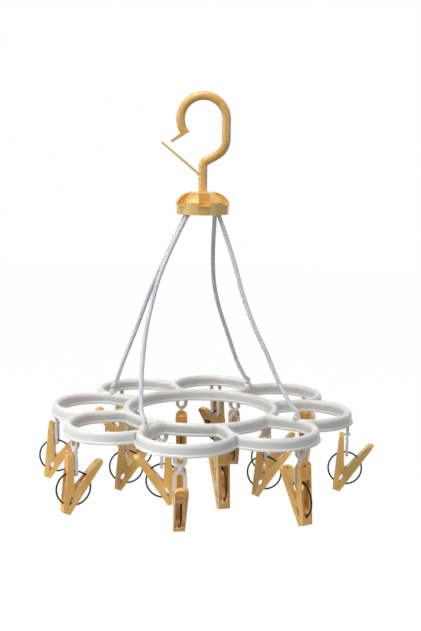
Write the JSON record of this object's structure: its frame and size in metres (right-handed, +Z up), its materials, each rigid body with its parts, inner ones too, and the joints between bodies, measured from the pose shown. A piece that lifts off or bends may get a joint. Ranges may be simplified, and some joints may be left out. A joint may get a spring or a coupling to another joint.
{
  "type": "round clip hanger",
  "caption": "Round laundry hanger: a flower-shaped frame on cords below a domed hub with a swivel hook, with sprung clips hung on link chains.",
  "frame": {"origin": "seat inside the top of the hook, where the pole carries the hanger", "axes": "+Z up along the stem, +X away from the mouth of the hook, +Y across the hook from its front"},
  "size_m": [0.356, 0.3542, 0.4116],
  "materials": {
    "frame_plastic": "smooth moulded white",
    "amber_plastic": "smooth moulded amber",
    "link_plastic": "smooth moulded white, slightly clear",
    "cord_plastic": "extruded white sleeve",
    "spring_steel": "drawn wire, darkened"
  },
  "bodies": {
    "hook": {"hook": "amber_plastic", "swivel_washer": "amber_plastic"},
    "gate": {"hook_gate": "amber_plastic"},
    "hanger": {"hub_cap": "amber_plastic", "flower_frame": "frame_plastic", "cord_1": "cord_plastic", "cord_2": "cord_plastic", "cord_3": "cord_plastic", "cord_4": "cord_plastic"},
    "chain_petal_1": {"link_chain_petal_1": "link_plastic"},
    "clip_petal_1": {"hanging_leg_petal_1": "amber_plastic"},
    "jaw_petal_1": {"moving_leg_petal_1": "amber_plastic"},
    "chain_petal_2": {"link_chain_petal_2": "link_plastic"},
    "clip_petal_2": {"hanging_leg_petal_2": "amber_plastic"},
    "jaw_petal_2": {"moving_leg_petal_2": "amber_plastic"},
    "chain_petal_3": {"link_chain_petal_3": "link_plastic"},
    "clip_petal_3": {"hanging_leg_petal_3": "amber_plastic"},
    "jaw_petal_3": {"moving_leg_petal_3": "amber_plastic"},
    "chain_petal_4": {"link_chain_petal_4": "link_plastic"},
    "clip_petal_4": {"hanging_leg_petal_4": "amber_plastic"},
    "jaw_petal_4": {"moving_leg_petal_4": "amber_plastic"},
    "chain_petal_5": {"link_chain_petal_5": "link_plastic"},
    "clip_petal_5": {"hanging_leg_petal_5": "amber_plastic"},
    "jaw_petal_5": {"moving_leg_petal_5": "amber_plastic"},
    "chain_petal_6": {"link_chain_petal_6": "link_plastic"},
    "clip_petal_6": {"hanging_leg_petal_6": "amber_plastic"},
    "jaw_petal_6": {"moving_leg_petal_6": "amber_plastic"},
    "chain_petal_7": {"link_chain_petal_7": "link_plastic"},
    "clip_petal_7": {"hanging_leg_petal_7": "amber_plastic"},
    "jaw_petal_7": {"moving_leg_petal_7": "amber_plastic"},
    "chain_petal_8": {"link_chain_petal_8": "link_plastic"},
    "clip_petal_8": {"hanging_leg_petal_8": "amber_plastic"},
    "jaw_petal_8": {"moving_leg_petal_8": "amber_plastic"},
    "chain_ring_1": {"link_chain_ring_1": "link_plastic"},
    "clip_ring_1": {"hanging_leg_ring_1": "amber_plastic"},
    "jaw_ring_1": {"moving_leg_ring_1": "amber_plastic"},
    "chain_ring_2": {"link_chain_ring_2": "link_plastic"},
    "clip_ring_2": {"hanging_leg_ring_2": "amber_plastic"},
    "jaw_ring_2": {"moving_leg_ring_2": "amber_plastic"},
    "chain_ring_3": {"link_chain_ring_3": "link_plastic"},
    "clip_ring_3": {"hanging_leg_ring_3": "amber_plastic"},
    "jaw_ring_3": {"moving_leg_ring_3": "amber_plastic"},
    "chain_ring_4": {"link_chain_ring_4": "link_plastic"},
    "clip_ring_4": {"hanging_leg_ring_4": "amber_plastic"},
    "jaw_ring_4": {"moving_leg_ring_4": "amber_plastic"},
    "chain_ring_5": {"link_chain_ring_5": "link_plastic"},
    "clip_ring_5": {"hanging_leg_ring_5": "amber_plastic"},
    "jaw_ring_5": {"moving_leg_ring_5": "amber_plastic"},
    "chain_ring_6": {"link_chain_ring_6": "link_plastic"},
    "clip_ring_6": {"hanging_leg_ring_6": "amber_plastic"},
    "jaw_ring_6": {"moving_leg_ring_6": "amber_plastic"},
    "chain_ring_7": {"link_chain_ring_7": "link_plastic"},
    "clip_ring_7": {"hanging_leg_ring_7": "amber_plastic"},
    "jaw_ring_7": {"moving_leg_ring_7": "amber_plastic"},
    "chain_ring_8": {"link_chain_ring_8": "link_plastic"},
    "clip_ring_8": {"hanging_leg_ring_8": "amber_plastic"},
    "jaw_ring_8": {"moving_leg_ring_8": "amber_plastic"}
  },
  "joints": [
    {"name": "gate_flex", "type": "hinge", "parent": "hook", "child": "gate", "pos_m": [-0.00385, 0, -0.07442], "axis": [0, 1, 0], "range_deg": [-28, 5], "stiffness_Nm_per_rad": 0.05},
    {"name": "hub_swivel", "type": "hinge", "parent": "hook", "child": "hanger", "pos_m": [0, 0, -0.09152], "axis": [0, 0, 1], "continuous": true},
    {"name": "chain_swing_petal_1", "type": "hinge", "parent": "hanger", "child": "chain_petal_1", "pos_m": [0.1548, 0, -0.32342], "axis": [1, 0, 0], "range_deg": [-15, 15]},
    {"name": "clip_swing_petal_1", "type": "hinge", "parent": "chain_petal_1", "child": "clip_petal_1", "pos_m": [0.1548, 0, -0.36332], "axis": [0.0175, 0.9998, 0], "range_deg": [-20, 0]},
    {"name": "clip_open_petal_1", "type": "hinge", "parent": "clip_petal_1", "child": "jaw_petal_1", "pos_m": [0.15311, 0.00003, -0.37779], "axis": [-0.0175, -0.9998, 0], "range_deg": [0, 25], "stiffness_Nm_per_rad": 0.12, "springref_deg": -34.38},
    {"name": "chain_swing_petal_2", "type": "hinge", "parent": "hanger", "child": "chain_petal_2", "pos_m": [0.10946, 0.10946, -0.32342], "axis": [0.7071, 0.7071, 0], "range_deg": [-15, 15]},
    {"name": "clip_swing_petal_2", "type": "hinge", "parent": "chain_petal_2", "child": "clip_petal_2", "pos_m": [0.10946, 0.10946, -0.36332], "axis": [-0.9848, 0.1736, 0], "range_deg": [-20, 0]},
    {"name": "clip_open_petal_2", "type": "hinge", "parent": "clip_petal_2", "child": "jaw_petal_2", "pos_m": [0.10917, 0.1078, -0.37779], "axis": [0.9848, -0.1736, 0], "range_deg": [0, 25], "stiffness_Nm_per_rad": 0.12, "springref_deg": -34.38},
    {"name": "chain_swing_petal_3", "type": "hinge", "parent": "hanger", "child": "chain_petal_3", "pos_m": [0, 0.1548, -0.32342], "axis": [0, 1, 0], "range_deg": [-15, 15]},
    {"name": "clip_swing_petal_3", "type": "hinge", "parent": "chain_petal_3", "child": "clip_petal_3", "pos_m": [0, 0.1548, -0.36332], "axis": [0.866, -0.5, 0], "range_deg": [-20, 0]},
    {"name": "clip_open_petal_3", "type": "hinge", "parent": "clip_petal_3", "child": "jaw_petal_3", "pos_m": [0.00085, 0.15626, -0.37779], "axis": [-0.866, 0.5, 0], "range_deg": [0, 25], "stiffness_Nm_per_rad": 0.12, "springref_deg": -34.38},
    {"name": "chain_swing_petal_4", "type": "hinge", "parent": "hanger", "child": "chain_petal_4", "pos_m": [-0.10946, 0.10946, -0.32342], "axis": [-0.7071, 0.7071, 0], "range_deg": [-15, 15]},
    {"name": "clip_swing_petal_4", "type": "hinge", "parent": "chain_petal_4", "child": "clip_petal_4", "pos_m": [-0.10946, 0.10946, -0.36332], "axis": [-0.1736, -0.9848, 0], "range_deg": [-20, 0]},
    {"name": "clip_open_petal_4", "type": "hinge", "parent": "clip_petal_4", "child": "jaw_petal_4", "pos_m": [-0.1078, 0.10917, -0.37779], "axis": [0.1736, 0.9848, 0], "range_deg": [0, 25], "stiffness_Nm_per_rad": 0.12, "springref_deg": -34.38},
    {"name": "chain_swing_petal_5", "type": "hinge", "parent": "hanger", "child": "chain_petal_5", "pos_m": [-0.1548, 0, -0.32342], "axis": [-1, 0, 0], "range_deg": [-15, 15]},
    {"name": "clip_swing_petal_5", "type": "hinge", "parent": "chain_petal_5", "child": "clip_petal_5", "pos_m": [-0.1548, 0, -0.36332], "axis": [-0.0698, 0.9976, 0], "range_deg": [-20, 0]},
    {"name": "clip_open_petal_5", "type": "hinge", "parent": "clip_petal_5", "child": "jaw_petal_5", "pos_m": [-0.15649, -0.00012, -0.37779], "axis": [0.0698, -0.9976, 0], "range_deg": [0, 25], "stiffness_Nm_per_rad": 0.12, "springref_deg": -34.38},
    {"name": "chain_swing_petal_6", "type": "hinge", "parent": "hanger", "child": "chain_petal_6", "pos_m": [-0.10946, -0.10946, -0.32342], "axis": [-0.7071, -0.7071, 0], "range_deg": [-15, 15]},
    {"name": "clip_swing_petal_6", "type": "hinge", "parent": "chain_petal_6", "child": "clip_petal_6", "pos_m": [-0.10946, -0.10946, -0.36332], "axis": [-0.5, 0.866, 0], "range_deg": [-20, 0]},
    {"name": "clip_open_petal_6", "type": "hinge", "parent": "clip_petal_6", "child": "jaw_petal_6", "pos_m": [-0.11092, -0.11031, -0.37779], "axis": [0.5, -0.866, 0], "range_deg": [0, 25], "stiffness_Nm_per_rad": 0.12, "springref_deg": -34.38},
    {"name": "chain_swing_petal_7", "type": "hinge", "parent": "hanger", "child": "chain_petal_7", "pos_m": [0, -0.1548, -0.32342], "axis": [0, -1, 0], "range_deg": [-15, 15]},
    {"name": "clip_swing_petal_7", "type": "hinge", "parent": "chain_petal_7", "child": "clip_petal_7", "pos_m": [0, -0.1548, -0.36332], "axis": [0.9781, 0.2079, 0], "range_deg": [-20, 0]},
    {"name": "clip_open_petal_7", "type": "hinge", "parent": "clip_petal_7", "child": "jaw_petal_7", "pos_m": [-0.00035, -0.15315, -0.37779], "axis": [-0.9781, -0.2079, 0], "range_deg": [0, 25], "stiffness_Nm_per_rad": 0.12, "springref_deg": -34.38},
    {"name": "chain_swing_petal_8", "type": "hinge", "parent": "hanger", "child": "chain_petal_8", "pos_m": [0.10946, -0.10946, -0.32342], "axis": [0.7071, -0.7071, 0], "range_deg": [-15, 15]},
    {"name": "clip_swing_petal_8", "type": "hinge", "parent": "chain_petal_8", "child": "clip_petal_8", "pos_m": [0.10946, -0.10946, -0.36332], "axis": [-0.7986, -0.6018, 0], "range_deg": [-20, 0]},
    {"name": "clip_open_petal_8", "type": "hinge", "parent": "clip_petal_8", "child": "jaw_petal_8", "pos_m": [0.11048, -0.11081, -0.37779], "axis": [0.7986, 0.6018, 0], "range_deg": [0, 25], "stiffness_Nm_per_rad": 0.12, "springref_deg": -34.38},
    {"name": "chain_swing_ring_1", "type": "hinge", "parent": "hanger", "child": "chain_ring_1", "pos_m": [0.07206, 0.02985, -0.32342], "axis": [0.9239, 0.3827, 0], "range_deg": [-15, 15]},
    {"name": "clip_swing_ring_1", "type": "hinge", "parent": "chain_ring_1", "child": "clip_ring_1", "pos_m": [0.07206, 0.02985, -0.36332], "axis": [-0.1305, 0.9914, 0], "range_deg": [-20, 0]},
    {"name": "clip_open_ring_1", "type": "hinge", "parent": "clip_ring_1", "child": "jaw_ring_1", "pos_m": [0.07039, 0.02963, -0.37779], "axis": [0.1305, -0.9914, 0], "range_deg": [0, 25], "stiffness_Nm_per_rad": 0.12, "springref_deg": -34.38},
    {"name": "chain_swing_ring_2", "type": "hinge", "parent": "hanger", "child": "chain_ring_2", "pos_m": [0.02985, 0.07206, -0.32342], "axis": [0.3827, 0.9239, 0], "range_deg": [-15, 15]},
    {"name": "clip_swing_ring_2", "type": "hinge", "parent": "chain_ring_2", "child": "clip_ring_2", "pos_m": [0.02985, 0.07206, -0.36332], "axis": [0.9914, 0.1305, 0], "range_deg": [-20, 0]},
    {"name": "clip_open_ring_2", "type": "hinge", "parent": "clip_ring_2", "child": "jaw_ring_2", "pos_m": [0.02963, 0.07374, -0.37779], "axis": [-0.9914, -0.1305, 0], "range_deg": [0, 25], "stiffness_Nm_per_rad": 0.12, "springref_deg": -34.38},
    {"name": "chain_swing_ring_3", "type": "hinge", "parent": "hanger", "child": "chain_ring_3", "pos_m": [-0.02985, 0.07206, -0.32342], "axis": [-0.3827, 0.9239, 0], "range_deg": [-15, 15]},
    {"name": "clip_swing_ring_3", "type": "hinge", "parent": "chain_ring_3", "child": "clip_ring_3", "pos_m": [-0.02985, 0.07206, -0.36332], "axis": [-0.9914, -0.1305, 0], "range_deg": [-20, 0]},
    {"name": "clip_open_ring_3", "type": "hinge", "parent": "clip_ring_3", "child": "jaw_ring_3", "pos_m": [-0.02963, 0.07039, -0.37779], "axis": [0.9914, 0.1305, 0], "range_deg": [0, 25], "stiffness_Nm_per_rad": 0.12, "springref_deg": -34.38},
    {"name": "chain_swing_ring_4", "type": "hinge", "parent": "hanger", "child": "chain_ring_4", "pos_m": [-0.07206, 0.02985, -0.32342], "axis": [-0.9239, 0.3827, 0], "range_deg": [-15, 15]},
    {"name": "clip_swing_ring_4", "type": "hinge", "parent": "chain_ring_4", "child": "clip_ring_4", "pos_m": [-0.07206, 0.02985, -0.36332], "axis": [-0.3007, 0.9537, 0], "range_deg": [-20, 0]},
    {"name": "clip_open_ring_4", "type": "hinge", "parent": "clip_ring_4", "child": "jaw_ring_4", "pos_m": [-0.07368, 0.02934, -0.37779], "axis": [0.3007, -0.9537, 0], "range_deg": [0, 25], "stiffness_Nm_per_rad": 0.12, "springref_deg": -34.38},
    {"name": "chain_swing_ring_5", "type": "hinge", "parent": "hanger", "child": "chain_ring_5", "pos_m": [-0.07206, -0.02985, -0.32342], "axis": [-0.9239, -0.3827, 0], "range_deg": [-15, 15]},
    {"name": "clip_swing_ring_5", "type": "hinge", "parent": "chain_ring_5", "child": "clip_ring_5", "pos_m": [-0.07206, -0.02985, -0.36332], "axis": [-0.1305, 0.9914, 0], "range_deg": [-20, 0]},
    {"name": "clip_open_ring_5", "type": "hinge", "parent": "clip_ring_5", "child": "jaw_ring_5", "pos_m": [-0.07374, -0.03007, -0.37779], "axis": [0.1305, -0.9914, 0], "range_deg": [0, 25], "stiffness_Nm_per_rad": 0.12, "springref_deg": -34.38},
    {"name": "chain_swing_ring_6", "type": "hinge", "parent": "hanger", "child": "chain_ring_6", "pos_m": [-0.02985, -0.07206, -0.32342], "axis": [-0.3827, -0.9239, 0], "range_deg": [-15, 15]},
    {"name": "clip_swing_ring_6", "type": "hinge", "parent": "chain_ring_6", "child": "clip_ring_6", "pos_m": [-0.02985, -0.07206, -0.36332], "axis": [0.1305, -0.9914, 0], "range_deg": [-20, 0]},
    {"name": "clip_open_ring_6", "type": "hinge", "parent": "clip_ring_6", "child": "jaw_ring_6", "pos_m": [-0.02817, -0.07184, -0.37779], "axis": [-0.1305, 0.9914, 0], "range_deg": [0, 25], "stiffness_Nm_per_rad": 0.12, "springref_deg": -34.38},
    {"name": "chain_swing_ring_7", "type": "hinge", "parent": "hanger", "child": "chain_ring_7", "pos_m": [0.02985, -0.07206, -0.32342], "axis": [0.3827, -0.9239, 0], "range_deg": [-15, 15]},
    {"name": "clip_swing_ring_7", "type": "hinge", "parent": "chain_ring_7", "child": "clip_ring_7", "pos_m": [0.02985, -0.07206, -0.36332], "axis": [-0.9239, -0.3827, 0], "range_deg": [-20, 0]},
    {"name": "clip_open_ring_7", "type": "hinge", "parent": "clip_ring_7", "child": "jaw_ring_7", "pos_m": [0.0305, -0.07362, -0.37779], "axis": [0.9239, 0.3827, 0], "range_deg": [0, 25], "stiffness_Nm_per_rad": 0.12, "springref_deg": -34.38},
    {"name": "chain_swing_ring_8", "type": "hinge", "parent": "hanger", "child": "chain_ring_8", "pos_m": [0.07206, -0.02985, -0.32342], "axis": [0.9239, -0.3827, 0], "range_deg": [-15, 15]},
    {"name": "clip_swing_ring_8", "type": "hinge", "parent": "chain_ring_8", "child": "clip_ring_8", "pos_m": [0.07206, -0.02985, -0.36332], "axis": [0.0436, 0.999, 0], "range_deg": [-20, 0]},
    {"name": "clip_open_ring_8", "type": "hinge", "parent": "clip_ring_8", "child": "jaw_ring_8", "pos_m": [0.07037, -0.02978, -0.37779], "axis": [-0.0436, -0.999, 0], "range_deg": [0, 25], "stiffness_Nm_per_rad": 0.12, "springref_deg": -34.38}
  ]
}
